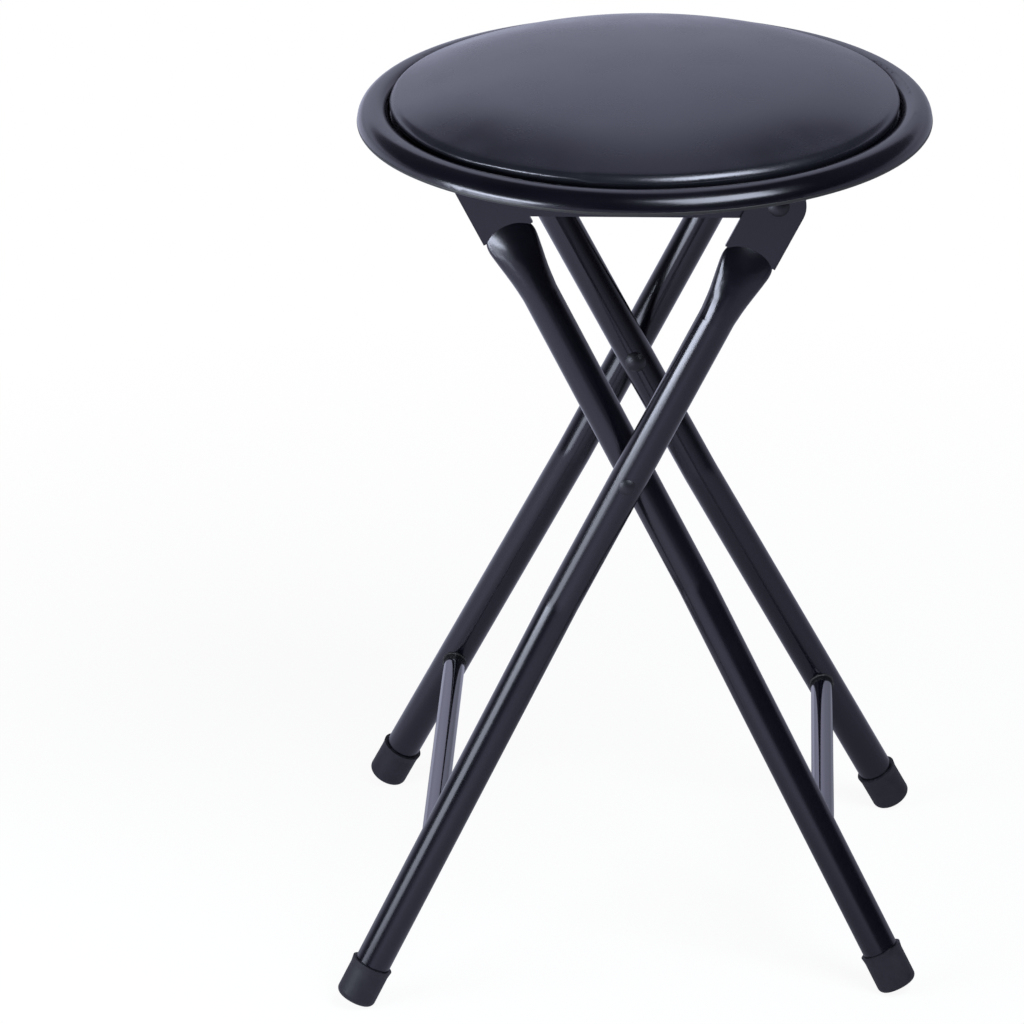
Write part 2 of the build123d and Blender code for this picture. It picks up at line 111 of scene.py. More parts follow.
class Shade:
    """One node tree, filled node by node."""

    def __init__(self, tree):
        self.tree = tree
        tree.nodes.clear()

    def feed(self, socket, value):
        """Joins a socket to another one, or sets its own value."""
        if isinstance(value, bpy.types.NodeSocket):
            self.tree.links.new(value, socket)
        else:
            socket.default_value = value

    def add(self, kind, sockets=None, **settings):
        """New node with its settings made and its input sockets fed."""
        node = self.tree.nodes.new("ShaderNode" + kind)
        for name, value in settings.items():
            setattr(node, name, value)
        for name, value in (sockets or {}).items():
            self.feed(node.inputs[name], value)
        return node

    def object_point(self):
        """Place on the object in metres."""
        return self.add("TexCoord").outputs["Object"]

    def noise(self, point, spacing, detail=2.0, roughness=0.5):
        """Cloudy noise whose features lie about a spacing apart."""
        sockets = {"Vector": point, "Scale": 1 / spacing, "Detail": detail, "Roughness": roughness}
        return self.add("TexNoise", sockets).outputs["Fac"]

    def cells(self, point, spacing, smoothness):
        """Distance from the middles of soft cells a spacing across."""
        sockets = {"Vector": point, "Scale": 1 / spacing, "Smoothness": smoothness}
        return self.add("TexVoronoi", sockets, feature="SMOOTH_F1").outputs["Distance"]

    def span(self, value, low, high, start, end):
        """A value's range from low to high carried to start and end."""
        sockets = {"Value": value, "From Min": low, "From Max": high, "To Min": start, "To Max": end}
        return self.add("MapRange", sockets).outputs["Result"]

    def ramp(self, value, stops):
        """Colours along a value, each given as a place and a colour."""
        node = self.add("ValToRGB", {"Fac": value})
        band = node.color_ramp.elements
        while len(band) < len(stops):
            band.new(1.0)
        for mark, (place, colour) in zip(band, stops):
            mark.position = place
            mark.color = (*colour, 1)
        return node.outputs["Color"]

    def math(self, operation, first, second):
        """One sum on two values."""
        node = self.add("Math", operation=operation)
        self.feed(node.inputs[0], first)
        self.feed(node.inputs[1], second)
        return node.outputs[0]

    def blend(self, share, first, second):
        """Colour that goes from the first to the second with the share."""
        node = self.add("Mix", {"Factor": share}, data_type="RGBA")
        self.feed(node.inputs[6], first)
        self.feed(node.inputs[7], second)
        return node.outputs[2]

    def mirrored_ray(self):
        """1 for rays that show the surroundings in a reflection or through a clear body."""
        path = self.add("LightPath").outputs
        return self.math("MAXIMUM", path["Is Glossy Ray"], path["Is Transmission Ray"])

    def bump(self, height, depth, under=None):
        """Normal that follows a height map of a real depth."""
        sockets = {"Height": height, "Distance": depth, "Strength": 1.0}
        if under is not None:
            sockets["Normal"] = under
        return self.add("Bump", sockets).outputs["Normal"]

    def surface(self, sockets, tint=None, density=1.5):
        """Principled surface joined to the output."""
        node = self.add("BsdfPrincipled", sockets)
        node.inputs["IOR"].default_value = density
        if tint is not None:
            node.inputs["Specular Tint"].default_value = (*tint, 1)
        self.add("OutputMaterial", {"Surface": node.outputs["BSDF"]})


def shades_of(colour, lift):
    """A colour a little darker and a little lighter, as the two ends of a ramp."""
    return [(0.3, [c * (1 - lift) for c in colour]), (0.7, [c * (1 + lift) for c in colour])]


def named_material(name):
    """New material and its node tree."""
    material = bpy.data.materials.new(name)
    material.use_nodes = True
    return material, Shade(material.node_tree)


def powder_coat(name, finish, colour, roughness, density):
    """Baked black coat: faint orange peel and slow changes of gloss."""
    material, shade = named_material(name)
    point = shade.object_point()
    drift = shade.noise(point, finish.coat_drift, detail=3)
    peel = shade.noise(point, finish.peel_spacing, detail=1)
    shade.surface(
        {
            "Base Color": shade.ramp(drift, shades_of(colour, 0.18)),
            "Roughness": shade.span(drift, 0.3, 0.7, roughness - 0.03, roughness + 0.04),
            "Normal": shade.bump(peel, finish.peel_depth),
        },
        finish.gloss_tint,
        density,
    )
    return material


def cap_rubber(finish):
    """Moulded rubber: dull, with a fine dry grain and paler scuffs."""
    material, shade = named_material("cap_rubber")
    point = shade.object_point()
    grain = shade.noise(point, finish.rubber_grain, detail=4, roughness=0.65)
    scuff = shade.noise(point, 14 * finish.rubber_grain, detail=5, roughness=0.6)
    shade.surface(
        {
            "Base Color": shade.ramp(scuff, shades_of(finish.rubber_colour, 0.25)),
            "Roughness": shade.span(scuff, 0.3, 0.7, 0.5, 0.64),
            "Normal": shade.bump(grain, 0.1 * finish.rubber_grain),
        },
        finish.gloss_tint,
    )
    return material


def board_ply(finish):
    """Plywood face: long pale grain along X."""
    material, shade = named_material("board_ply")
    point = shade.object_point()
    along = shade.add("Mapping", {"Vector": point, "Scale": (0.12, 1, 1)}).outputs["Vector"]
    grain = shade.noise(along, 0.004, detail=6, roughness=0.7)
    shade.surface(
        {
            "Base Color": shade.ramp(grain, shades_of(finish.board_colour, 0.3)),
            "Roughness": shade.span(grain, 0.3, 0.7, 0.6, 0.75),
            "Normal": shade.bump(grain, 0.0002),
        }
    )
    return material


def seat_vinyl(finish):
    """Stretched vinyl: soft pebble grain broken by noise, and slow changes of sheen."""
    material, shade = named_material("seat_vinyl")
    point = shade.object_point()
    warp = shade.noise(point, 3 * finish.grain_spacing, detail=1)
    wander = shade.add("VectorMath", {"Scale": 2 * finish.grain_spacing}, operation="SCALE")
    shade.feed(wander.inputs[0], warp)
    moved = shade.add("VectorMath", operation="ADD")
    shade.feed(moved.inputs[0], point)
    shade.feed(moved.inputs[1], wander.outputs[0])
    pebble = shade.cells(moved.outputs[0], finish.grain_spacing, 0.5)
    crease = shade.noise(point, 0.6 * finish.grain_spacing, detail=3, roughness=0.6)
    drift = shade.noise(point, 0.03, detail=4)
    grain = shade.bump(pebble, finish.grain_depth)
    shade.surface(
        {
            "Base Color": shade.ramp(drift, shades_of(finish.vinyl_colour, 0.15)),
            "Roughness": shade.span(drift, 0.3, 0.7, finish.vinyl_roughness - 0.03, finish.vinyl_roughness + 0.03),
            "Normal": shade.bump(crease, 0.5 * finish.grain_depth, under=grain),
        },
        finish.gloss_tint,
        finish.vinyl_density,
    )
    return material


def dress(obj, material):
    """Gives a piece one material in place of those it came with."""
    if not obj.data.materials:
        obj.data.materials.append(material)
    for place in range(len(obj.data.materials)):
        obj.data.materials[place] = material


def new_piece(name, corners, faces, material):
    """Mesh object in the row frame, smooth all over."""
    mesh = bpy.data.meshes.new(name)
    mesh.from_pydata([tuple(c) for c in corners], [], faces)
    mesh.validate()
    mesh.update()
    mesh.polygons.foreach_set("use_smooth", [True] * len(mesh.polygons))
    piece = bpy.data.objects.new(name, mesh)
    bpy.context.scene.collection.objects.link(piece)
    dress(piece, material)
    return piece


class StoolFinish(bpy.types.PropertyGroup):
    """Colours and surfaces of the stool."""

    coat_colour: FloatVectorProperty(
        name="Coat colour", description="Black coat of the tubes and the pan",
        subtype="COLOR", default=(0.003, 0.003, 0.006), min=0, max=1,
    )
    fastener_colour: FloatVectorProperty(
        name="Fastener colour", description="Black of the rivets, washers, spacers and screws",
        subtype="COLOR", default=(0.003, 0.003, 0.005), min=0, max=1,
    )
    rubber_colour: FloatVectorProperty(
        name="Rubber colour", description="Dark grey of the foot caps",
        subtype="COLOR", default=(0.011, 0.0105, 0.0155), min=0, max=1,
    )
    vinyl_colour: FloatVectorProperty(
        name="Vinyl colour", description="Black of the seat cover",
        subtype="COLOR", default=(0.010, 0.0105, 0.016), min=0, max=1,
    )
    board_colour: FloatVectorProperty(
        name="Board colour", description="Wood of the board inside the seat",
        subtype="COLOR", default=(0.46, 0.31, 0.17), min=0, max=1,
    )
    gloss_tint: FloatVectorProperty(
        name="Gloss tint", description="Cool tint of the reflections in the black finishes",
        subtype="COLOR", default=(0.94, 0.92, 1.0), min=0, max=1,
    )
    coat_roughness: FloatProperty(
        name="Coat roughness", description="Blur of the reflections in the coat",
        subtype="FACTOR", default=0.2, min=0, max=1,
    )
    coat_drift: FloatProperty(
        name="Coat drift", description="Distance over which the coat's gloss changes",
        unit="LENGTH", default=0.045, min=0.001,
    )
    peel_spacing: FloatProperty(
        name="Peel spacing", description="Spacing of the coat's orange peel",
        unit="LENGTH", default=0.0012, min=0.0001,
    )
    peel_depth: FloatProperty(
        name="Peel depth", description="Depth of the coat's orange peel",
        unit="LENGTH", default=0.000004, min=0, precision=6,
    )
    coat_density: FloatProperty(
        name="Coat density", description="Index of refraction of the coat", default=1.6, min=1, max=3,
    )
    # Painted sheen: this raised index brightens the cross bars' reflections beyond those of the frame's coat
    bar_sheen_density: FloatProperty(
        name="Bar density", description="Index of refraction of the thicker coat on the cross bars",
        default=2.3, min=1, max=3,
    )
    vinyl_density: FloatProperty(
        name="Vinyl density", description="Index of refraction of the seat cover", default=1.8, min=1, max=3,
    )
    rubber_grain: FloatProperty(
        name="Rubber grain", description="Spacing of the grain of the foot caps",
        unit="LENGTH", default=0.0005, min=0.0001, precision=5,
    )
    vinyl_roughness: FloatProperty(
        name="Vinyl roughness", description="Blur of the reflections in the seat cover",
        subtype="FACTOR", default=0.26, min=0, max=1,
    )
    grain_spacing: FloatProperty(
        name="Grain spacing", description="Width of one pebble of the vinyl's grain",
        unit="LENGTH", default=0.0009, min=0.0001, precision=5,
    )
    grain_depth: FloatProperty(
        name="Grain depth", description="Depth of the vinyl's grain",
        unit="LENGTH", default=0.000026, min=0, precision=6,
    )


class StoolCushion(bpy.types.PropertyGroup):
    """Form of the padded seat."""

    shoulder: FloatProperty(
        name="Shoulder", description="Radius of the roll that would round off the whole dome",
        unit="LENGTH", default=0.009, min=0.001,
    )
    roll: FloatProperty(
        name="Roll", description="Radius of the roll at the edge of the crown",
        unit="LENGTH", default=0.0045, min=0.001,
    )
    tight_shoulder: FloatProperty(
        name="Tight shoulder", description="Radius of the roll where the cover is pulled tight",
        unit="LENGTH", default=0.003, min=0.0005,
    )
    tight_start: FloatProperty(
        name="Tight start", description="Where the tight stretch begins, turned from the front",
        subtype="ANGLE", default=math.radians(-43),
    )
    tight_end: FloatProperty(
        name="Tight end", description="Where the tight stretch ends in a pleat, turned from the front",
        subtype="ANGLE", default=math.radians(-13.5),
    )
    fullest: FloatProperty(
        name="Fullest", description="Height of the widest part above the underside",
        unit="LENGTH", default=0.0029, min=0.0005,
    )
    overhang: FloatProperty(
        name="Overhang", description="How far the widest part bulges over the leaning wall of the pan",
        unit="LENGTH", default=0.0006, min=0, precision=5,
    )
    drop: FloatProperty(
        name="Drop", description="How far the cover is drawn down below the dome at its edge",
        unit="LENGTH", default=0.001, min=0, precision=5,
    )
    tuck: FloatProperty(
        name="Tuck", description="How far the underside lies in from the widest part",
        unit="LENGTH", default=0.0024, min=0,
    )
    slack: FloatProperty(
        name="Slack", description="How much smaller the cover starts before it is filled",
        unit="LENGTH", default=0.0004, min=0, precision=5,
    )
    pressure: FloatProperty(
        name="Pressure", description="Push of the pad against the cover", default=4.0, min=0,
    )
    steps: IntProperty(name="Steps", description="Frames of the cloth's settling", default=20, min=2)
    most_motion: FloatProperty(
        name="Most motion", description="Furthest that the filling may move the cover",
        unit="LENGTH", default=0.0006, min=0, precision=5,
    )
    easing: IntProperty(
        name="Easing", description="Rounds of evening out that the cover's stretch gives", default=24, min=0,
    )
    pucker: FloatProperty(
        name="Pucker", description="Depth of the gathers round the edge",
        unit="LENGTH", default=0.00005, min=0, precision=6,
    )
    fill: FloatProperty(
        name="Fill", description="How tightly the cover is filled", subtype="FACTOR", default=0.85, min=0, max=1,
    )
    crown_rings: IntProperty(name="Crown rings", description="Rows of faces over the crown", default=30, min=4)
    roll_rings: IntProperty(name="Roll rings", description="Rows of faces round the shoulder", default=9, min=3)
    tuck_rings: IntProperty(name="Tuck rings", description="Rows of faces down the side", default=4, min=2)


class StoolWelds(bpy.types.PropertyGroup):
    """Cross bars and their weld beads."""

    bar_radius: FloatProperty(
        name="Bar radius", description="Outer radius of the cross bars",
        unit="LENGTH", default=0.006, min=0.001,
    )
    bead_radius: FloatProperty(
        name="Bead radius", description="Half thickness of a weld bead",
        unit="LENGTH", default=0.0008, min=0.0002, precision=5,
    )
    ripple: FloatProperty(
        name="Ripple", description="How far the bead swells and shrinks along its run",
        subtype="FACTOR", default=0.22, min=0, max=1,
    )
    lumps: IntProperty(name="Lumps", description="Swellings round one bead", default=9, min=1)
    sides: IntProperty(name="Sides", description="Faces round a cross bar", default=72, min=12)
    sink: FloatProperty(
        name="Sink", description="How far a bar's end goes into the leg's wall",
        unit="LENGTH", default=0.0003, min=0, precision=5,
    )


class StoolHem(bpy.types.PropertyGroup):
    """Rolled edge of the pan."""

    roll_radius: FloatProperty(
        name="Roll radius", description="Half thickness of the roll at the lower edge of the rim",
        unit="LENGTH", default=0.0014, min=0.0005, precision=5,
    )
    overlap: FloatProperty(
        name="Overlap", description="How far the coat on the roll stands out past the rim",
        unit="LENGTH", default=0.00015, min=0, precision=5,
    )
    waver: FloatProperty(
        name="Waver", description="How far the roll's thickness wanders round the rim",
        unit="LENGTH", default=0.00003, min=0, precision=6,
    )


class StoolStage(bpy.types.PropertyGroup):
    """Camera, floor and light."""

    azimuth: FloatProperty(
        name="Azimuth", description="Camera's turn to the right of the front",
        subtype="ANGLE", default=math.radians(2.593),
    )
    elevation: FloatProperty(
        name="Elevation", description="Camera's height above the horizon",
        subtype="ANGLE", default=math.radians(22.509),
    )
    roll: FloatProperty(
        name="Roll", description="Camera's turn about its own axis",
        subtype="ANGLE", default=math.radians(-0.4603),
    )
    distance: FloatProperty(
        name="Distance", description="From the camera to what it looks at",
        unit="LENGTH", default=3.3739, min=0.1,
    )
    target: FloatVectorProperty(
        name="Target", description="What the camera looks at",
        subtype="XYZ", unit="LENGTH", default=(-0.06655, 0, 0.22459),
    )
    lens: FloatProperty(name="Lens", description="Focal length in millimetres", default=221.37, min=1)
    floor_colour: FloatVectorProperty(
        name="Floor colour", description="Pale floor and surroundings",
        subtype="COLOR", default=(1, 1, 1), min=0, max=1,
    )
    floor_radius: FloatProperty(
        name="Floor radius", description="Half width of the floor", unit="LENGTH", default=60.0, min=1,
    )
    shadow_share: FloatProperty(
        name="Shadow share", description="How much of the floor's white the shadow can take",
        subtype="FACTOR", default=0.08, min=0, max=1,
    )
    backdrop: FloatVectorProperty(
        name="Backdrop", description="Cool white of the studio as the black finishes mirror it",
        subtype="COLOR", default=(0.75, 0.77, 1.0), min=0, max=1,
    )
    room: FloatProperty(
        name="Room", description="How bright the room in front is beside the backdrop",
        subtype="FACTOR", default=0.03, min=0, max=1,
    )
    lamp_colour: FloatVectorProperty(
        name="Lamp colour", description="Cool white of the lamps",
        subtype="COLOR", default=(0.82, 0.9, 1.0), min=0, max=1,
    )
    fill_light: FloatProperty(
        name="Fill light", description="Even light from all round", default=0.3, min=0,
    )
    strip_light: FloatProperty(
        name="Strip light", description="Power of the strip at the left in watts", default=4.0, min=0,
    )
    low_light: FloatProperty(
        name="Low light", description="Power of the panel below the strip in watts", default=1.5, min=0,
    )
    front_light: FloatProperty(
        name="Front light", description="Power of the high light at the front in watts", default=36.0, min=0,
    )


class STOOL_OT_finishes(bpy.types.Operator):
    """Put the coat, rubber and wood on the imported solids"""

    bl_idname = "stool.finishes"
    bl_label = "Finish Metal and Rubber"

    def execute(self, context):
        finish = context.scene.stool_finish
        coat = powder_coat("frame_coat", finish, finish.coat_colour, finish.coat_roughness, finish.coat_density)
        black = powder_coat(
            "fastener_black", finish, finish.fastener_colour, finish.coat_roughness + 0.25, finish.coat_density
        )
        looks = [(COATED, coat), (FASTENERS, black), (CAPS, cap_rubber(finish)), (BOARDS, board_ply(finish))]
        for names, material in looks:
            for name in names:
                dress(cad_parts[name], material)
        return {"FINISHED"}


def smooth_step(value):
    """Soft change from 0 to 1."""
    x = np.clip(value, 0, 1)
    return x * x * (3 - 2 * x)


def shoulder_at(turn, form):
    """Roll radius at a turn from the front: tight along one stretch that ends in a pleat."""
    fade_in = smooth_step((turn - form.tight_start) / TIGHT_FADE_IN)
    fade_out = smooth_step((turn - form.tight_end) / TIGHT_FADE_OUT)
    share = fade_in * (1 - fade_out)
    return form.roll + (form.tight_shoulder - form.roll) * share


def cushion_point(stage, turn, form, inset):
    """Point of the cover: stage runs 0-1 over the crown, 1-2 round the roll and 2-3 down the side."""
    middle = (COVER_LOW + COVER_HIGH) / 2
    radius = (COVER_HIGH.x - COVER_LOW.x) / 2 + form.overhang
    base = COVER_LOW.z
    crown = COVER_HIGH.z - base
    height = crown - form.fullest
    dome = ((radius - form.shoulder) ** 2 + height**2 - form.shoulder**2) / (2 * (height - form.shoulder))
    dome_z = crown - dome
    shoulder = shoulder_at(turn, form)
    roll_r = radius - shoulder
    roll_z = dome_z + np.sqrt((dome - shoulder) ** 2 - roll_r**2)
    meet = np.arctan2(roll_r, roll_z - dome_z)
    crown_turn = np.clip(stage, 0, 1) * meet
    roll_turn = meet + np.clip(stage - 1, 0, 1) * (math.pi / 2 - meet)
    down = np.clip(stage - 2, 0, 1)
    dome_now = dome - inset
    roll_now = shoulder - inset
    r = np.where(stage <= 1, dome_now * np.sin(crown_turn), roll_r + roll_now * np.sin(roll_turn))
    z = np.where(stage <= 1, dome_z + dome_now * np.cos(crown_turn), roll_z + roll_now * np.cos(roll_turn))
    r = r - form.tuck * down**2
    z = z - form.drop * smooth_step((stage - DROP_START) / (1 - DROP_START))
    z = np.where(stage > 2, (roll_z - form.drop) * (1 - down), z)
    return np.stack([middle.x + r * np.sin(turn), middle.y - r * np.cos(turn), base + z], axis=-1)


def cover_grid(form):
    """Square grid laid over the disc: each point's stage and turn, and the number of rings."""
    rings = form.crown_rings + form.roll_rings + form.tuck_rings
    stages = np.concatenate(
        [
            np.linspace(0, 1, form.crown_rings + 1),
            np.linspace(1, 2, form.roll_rings + 1)[1:],
            np.linspace(2, 3, form.tuck_rings + 1)[1:],
        ]
    )
    span = np.arange(-rings, rings + 1)
    x, y = np.meshgrid(span, span, indexing="ij")
    ring = np.maximum(abs(x), abs(y))
    safe = np.maximum(ring, 1)
    turn = np.where(
        abs(x) >= abs(y),
        math.pi / 4 * y / safe * np.sign(x) + np.where(x < 0, math.pi, 0),
        math.pi / 2 * np.sign(y) - math.pi / 4 * x / safe * np.sign(y),
    )
    turn = (turn + math.pi) % (2 * math.pi) - math.pi
    return stages[ring].ravel(), turn.ravel(), rings


def cover_faces(rings):
    """Quads of the grid, and the grid's border in order for the underside."""
    side = 2 * rings + 1
    index = np.arange(side * side).reshape(side, side)
    quads = np.stack([index[:-1, :-1], index[1:, :-1], index[1:, 1:], index[:-1, 1:]], axis=-1).reshape(-1, 4)
    border = np.concatenate([index[:-1, 0], index[-1, :-1], index[:0:-1, -1], index[0, :0:-1]])
    return [tuple(int(i) for i in q) for q in quads], [int(i) for i in border]


def eased(motion, pairs):
    """Motion of each point drawn half way to that of its neighbours."""
    total = np.zeros_like(motion)
    count = np.zeros((len(motion), 1))
    for near, far in (pairs.T, pairs.T[::-1]):
        np.add.at(total, near, motion[far])
        np.add.at(count, near, 1)
    return (motion + total / count) / 2


def filled(piece, form, held):
    """Cloth filled from inside by the pad: settled, its motion capped, and written back to the mesh."""
    group = piece.vertex_groups.new(name="held")
    group.add(held, 1.0, "REPLACE")
    cloth = piece.modifiers.new("cover", "CLOTH")
    settings = cloth.settings
    settings.quality = 5
    settings.mass = 0.3
    settings.tension_stiffness = 25
    settings.compression_stiffness = 25
    settings.shear_stiffness = 12
    settings.bending_stiffness = 3
    settings.use_pressure = True
    settings.uniform_pressure_force = form.pressure
    settings.vertex_group_mass = group.name
    settings.effector_weights.gravity = 0
    cloth.point_cache.frame_start = 1
    cloth.point_cache.frame_end = form.steps
    scene = bpy.context.scene
    for step in range(1, form.steps + 1):
        scene.frame_set(step)
    settled = piece.evaluated_get(bpy.context.evaluated_depsgraph_get())
    count = len(piece.data.vertices)
    start = np.empty(count * 3)
    end = np.empty(count * 3)
    piece.data.vertices.foreach_get("co", start)
    settled.data.vertices.foreach_get("co", end)
    piece.modifiers.remove(cloth)
    piece.vertex_groups.remove(group)
    scene.frame_set(1)
    motion = (end - start).reshape(-1, 3)
    reach = np.linalg.norm(motion, axis=1, keepdims=True)
    kept = motion * np.minimum(1, form.most_motion / np.maximum(reach, 1e-9))
    pairs = np.empty(2 * len(piece.data.edges), dtype=np.int32)
    piece.data.edges.foreach_get("vertices", pairs)
    for _ in range(form.easing):
        kept = eased(kept, pairs.reshape(-1, 2))
    piece.data.vertices.foreach_set("co", (start.reshape(-1, 3) + kept).ravel())
    piece.data.update()


def gathered(piece, stage, turn, form):
    """Shallow gathers where the cover is drawn under, stronger on some stretches than others."""
    waves = 0.5 * np.cos(41 * turn + 1.1) + 0.3 * np.cos(67 * turn + 0.4) + 0.35 * np.cos(23 * turn + 2.3)
    pull = 0.55 + 0.45 * np.cos(2 * turn + 1.9)
    near = smooth_step((stage - GATHER_START) / GATHER_SPAN)
    depth = form.pucker * waves * pull * near
    count = len(piece.data.vertices)
    places = np.empty(count * 3)
    piece.data.vertices.foreach_get("co", places)
    places = places.reshape(-1, 3)
    top = len(stage)
    places[:top, 0] += depth * np.sin(turn)
    places[:top, 1] -= depth * np.cos(turn)
    piece.data.vertices.foreach_set("co", places.ravel())
    piece.data.update()


class STOOL_OT_cushion(bpy.types.Operator):
    """Make the padded seat as a filled vinyl cover"""

    bl_idname = "stool.cushion"
    bl_label = "Make Cushion"

    def execute(self, context):
        form = context.scene.stool_cushion
        stage, turn, rings = cover_grid(form)
        corners = cushion_point(stage, turn, form, form.slack)
        faces, border = cover_faces(rings)
        middle = (COVER_LOW + COVER_HIGH) / 2
        foot = np.array([middle.x, middle.y, COVER_LOW.z])
        corners = list(corners)
        loop = border
        for share in UNDERSIDE_SHARES:
            below = list(range(len(corners), len(corners) + len(border)))
            corners += [foot + (corners[i] - foot) * share for i in border]
            faces += [(loop[i], loop[i - 1], below[i - 1], below[i]) for i in range(len(border))]
            loop = below
        corners.append(foot)
        faces += [(loop[i], loop[i - 1], len(corners) - 1) for i in range(len(loop))]
        cushion = new_piece("seat_cushion", corners, faces, seat_vinyl(context.scene.stool_finish))
        held = [i for i in range(len(corners)) if i >= len(stage) or stage[i] > HELD_STAGE]
        filled(cushion, form, held)
        gathered(cushion, stage, turn, form)
        cushion.modifiers.new("even", "SUBSURF").render_levels = 1
        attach(cushion, "seat")
        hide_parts("cushion_cover", "cushion_foam")
        return {"FINISHED"}


def leg_ring(leg, centre, outward, radius, steps):
    """Ring where lines along a cross bar, a radius from its axis, meet the leg."""
    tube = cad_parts[leg].data
    surface = BVHTree.FromPolygons([v.co for v in tube.vertices], [p.vertices for p in tube.polygons])
    ring = []
    for step in range(steps):
        turn = 2 * math.pi * step / steps
        start = centre + radius * Vector((math.cos(turn), 0, math.sin(turn)))
        place, _, _, _ = surface.ray_cast(start, Vector((0, outward, 0)))
        if place is None:
            raise RuntimeError(f"The cross bar misses {leg}")
        ring.append(place)
    return ring


def cross_tube(name, front, back, welds, material):
    """Thin tube from one leg to the other, cut to sit on both."""
    sides = len(front)
    sunk = Vector((0, welds.sink, 0))
    corners = [
        (near - sunk).lerp(far + sunk, step / (BAR_RINGS - 1))
        for step in range(BAR_RINGS) for near, far in zip(front, back)
    ]
    faces = []
    for start in range(0, (BAR_RINGS - 1) * sides, sides):
        for side in range(sides):
            beside = (side + 1) % sides
            faces.append((start + side, start + sides + side, start + sides + beside, start + beside))
    faces.append(tuple(range(sides)))
    faces.append(tuple(reversed(range((BAR_RINGS - 1) * sides, BAR_RINGS * sides))))
    return new_piece(name, corners, faces, material)


def weld_bead(name, ring, outward, welds, material):
    """Rippled bead laid where the bar meets the leg."""
    steps, sides = len(ring), BEAD_SIDES
    along = Vector((0, outward, 0))
    corners = []
    for step, place in enumerate(ring):
        turn = 2 * math.pi * step / steps
        out = Vector((math.cos(turn), 0, math.sin(turn)))
        swell = math.cos(welds.lumps * turn + 0.8) + 0.45 * math.cos((2 * welds.lumps - 5) * turn)
        thick = welds.bead_radius * (1 + welds.ripple * swell)
        heart = place - along * (BEAD_SEAT * welds.bead_radius)
        for side in range(sides):
            angle = 2 * math.pi * side / sides
            corners.append(heart + thick * (math.cos(angle) * out + math.sin(angle) * along))
    faces = []
    for step in range(steps):
        after = (step + 1) % steps
        for side in range(sides):
            beside = (side + 1) % sides
            quad = (step * sides + side, after * sides + side, after * sides + beside, step * sides + beside)
            faces.append(quad if outward > 0 else quad[::-1])
    return new_piece(name, corners, faces, material)


class STOOL_OT_welds(bpy.types.Operator):
    """Fit both cross bars to their legs and lay a weld bead at each end"""

    bl_idname = "stool.welds"
    bl_label = "Weld Cross Bars"

    def execute(self, context):
        welds = context.scene.stool_welds
        finish = context.scene.stool_finish
        material = bpy.data.materials["frame_coat"]
        # Painted sheen: a copy of the frame coat with a raised index and less roughness, so the cross bars reflect
        # brighter than the rest of the frame
        sheen_bar_coat = powder_coat(
            "bar_coat", finish, finish.coat_colour, 0.6 * finish.coat_roughness, finish.bar_sheen_density
        )
        for pair in ("outer", "inner"):
            low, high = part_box(f"{pair}_cross_bar")
            centre = (low + high) / 2
            rings = {}
            for end, outward in (("front", -1), ("back", 1)):
                rings[end] = leg_ring(f"{pair}_leg_{end}", centre, outward, welds.bar_radius, welds.sides)
                bead = weld_bead(f"{pair}_weld_{end}", rings[end], outward, welds, material)
                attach(bead, f"{pair}_frame")
            bar = cross_tube(f"{pair}_bar", rings["front"], rings["back"], welds, sheen_bar_coat)
            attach(bar, f"{pair}_frame")
            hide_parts(f"{pair}_cross_bar")
        return {"FINISHED"}


def rolled_hem(hem, material):
    """Round roll along the pan's lower edge, laid over its hem."""
    low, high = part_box("seat_pan")
    middle = (low + high) / 2
    rim = (high.x - low.x) / 2
    edge = [
        v.co.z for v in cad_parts["seat_pan"].data.vertices
        if math.hypot(v.co.x - middle.x, v.co.y - middle.y) > rim - hem.roll_radius
    ]
    reach = rim + hem.overlap - hem.roll_radius
    height = min(edge) + hem.roll_radius - hem.overlap
    steps = 2 * math.pi * np.arange(HEM_STEPS) / HEM_STEPS
    sides = 2 * math.pi * np.arange(HEM_SIDES) / HEM_SIDES
    turn, angle = np.meshgrid(steps, sides, indexing="ij")
    thick = hem.roll_radius + hem.waver * (np.cos(5 * turn + 0.7) + 0.6 * np.cos(13 * turn + 2.1))
    r = reach + thick * np.cos(angle)
    places = [middle.x + r * np.cos(turn), middle.y + r * np.sin(turn), height + thick * np.sin(angle)]
    index = np.arange(HEM_STEPS * HEM_SIDES).reshape(HEM_STEPS, HEM_SIDES)
    after, beside = np.roll(index, -1, axis=0), np.roll(index, -1, axis=1)
    faces = np.stack([index, after, np.roll(after, -1, axis=1), beside], axis=-1).reshape(-1, 4)
    return new_piece("rim_hem", np.stack(places, axis=-1).reshape(-1, 3), faces.tolist(), material)


class STOOL_OT_hem(bpy.types.Operator):
    """Roll the lower edge of the seat's rim"""

    bl_idname = "stool.hem"
    bl_label = "Roll the Hem"

    def execute(self, context):
        hem = rolled_hem(context.scene.stool_hem, bpy.data.materials["frame_coat"])
        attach(hem, "seat")
        return {"FINISHED"}


def studio_camera(stage):
    """Camera at the photograph's angle."""
    turn = Matrix.Rotation(stage.azimuth, 3, "Z")
    back = turn @ Vector((0, -math.cos(stage.elevation), math.sin(stage.elevation)))
    right = turn @ Vector((1, 0, 0))
    up = back.cross(right)
    level = right * math.cos(stage.roll) + up * math.sin(stage.roll)
    upright = back.cross(level)
    data = bpy.data.cameras.new("studio_camera")
    data.lens = stage.lens
    data.clip_end = 200
    camera = bpy.data.objects.new("studio_camera", data)
    place = Matrix((level, upright, back)).transposed().to_4x4()
    place.translation = Vector(stage.target) + back * stage.distance
    camera.matrix_world = place
    bpy.context.scene.collection.objects.link(camera)
    bpy.context.scene.camera = camera


